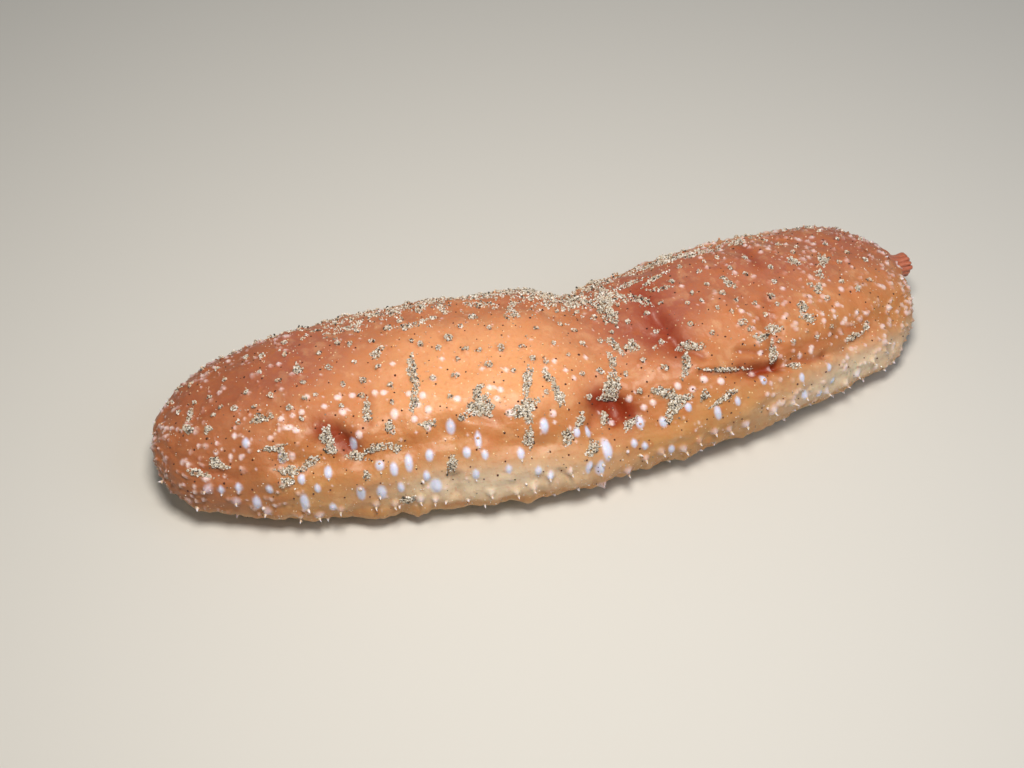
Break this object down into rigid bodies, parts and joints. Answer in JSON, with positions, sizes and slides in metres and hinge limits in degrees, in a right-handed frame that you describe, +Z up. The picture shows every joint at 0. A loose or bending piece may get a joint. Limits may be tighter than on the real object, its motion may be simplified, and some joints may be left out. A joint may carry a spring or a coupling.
{
  "type": "royal sea cucumber",
  "caption": "Life-size still model of a royal sea cucumber lying on its sole, with warty back, pointed margin papillae and tube feet.",
  "frame": {"origin": "on the floor under the middle of the bounding box", "axes": "+X from the mouth end to the vent, +Z up, -Y the animal's left side"},
  "size_m": [0.2633, 0.0888, 0.0403],
  "materials": {
    "back_skin": "moist orange brown skin with soft warts",
    "flank_skin": "moist tan skin with pale spots",
    "sole_skin": "moist pale skin with tube feet",
    "mouth_skin": "moist skin",
    "vent_skin": "moist furrowed skin"
  },
  "bodies": {
    "root": {"mouth_end": "back_skin", "mouth": "mouth_skin", "back_front": "back_skin", "back_middle": "back_skin", "back_rear": "back_skin", "flank_left_front": "flank_skin", "flank_left_middle": "flank_skin", "flank_left_rear": "flank_skin", "flank_right_front": "flank_skin", "flank_right_middle": "flank_skin", "flank_right_rear": "flank_skin", "sole_front": "sole_skin", "sole_middle": "sole_skin", "sole_rear": "sole_skin", "vent_end": "back_skin", "vent": "vent_skin"}
  },
  "joints": []
}
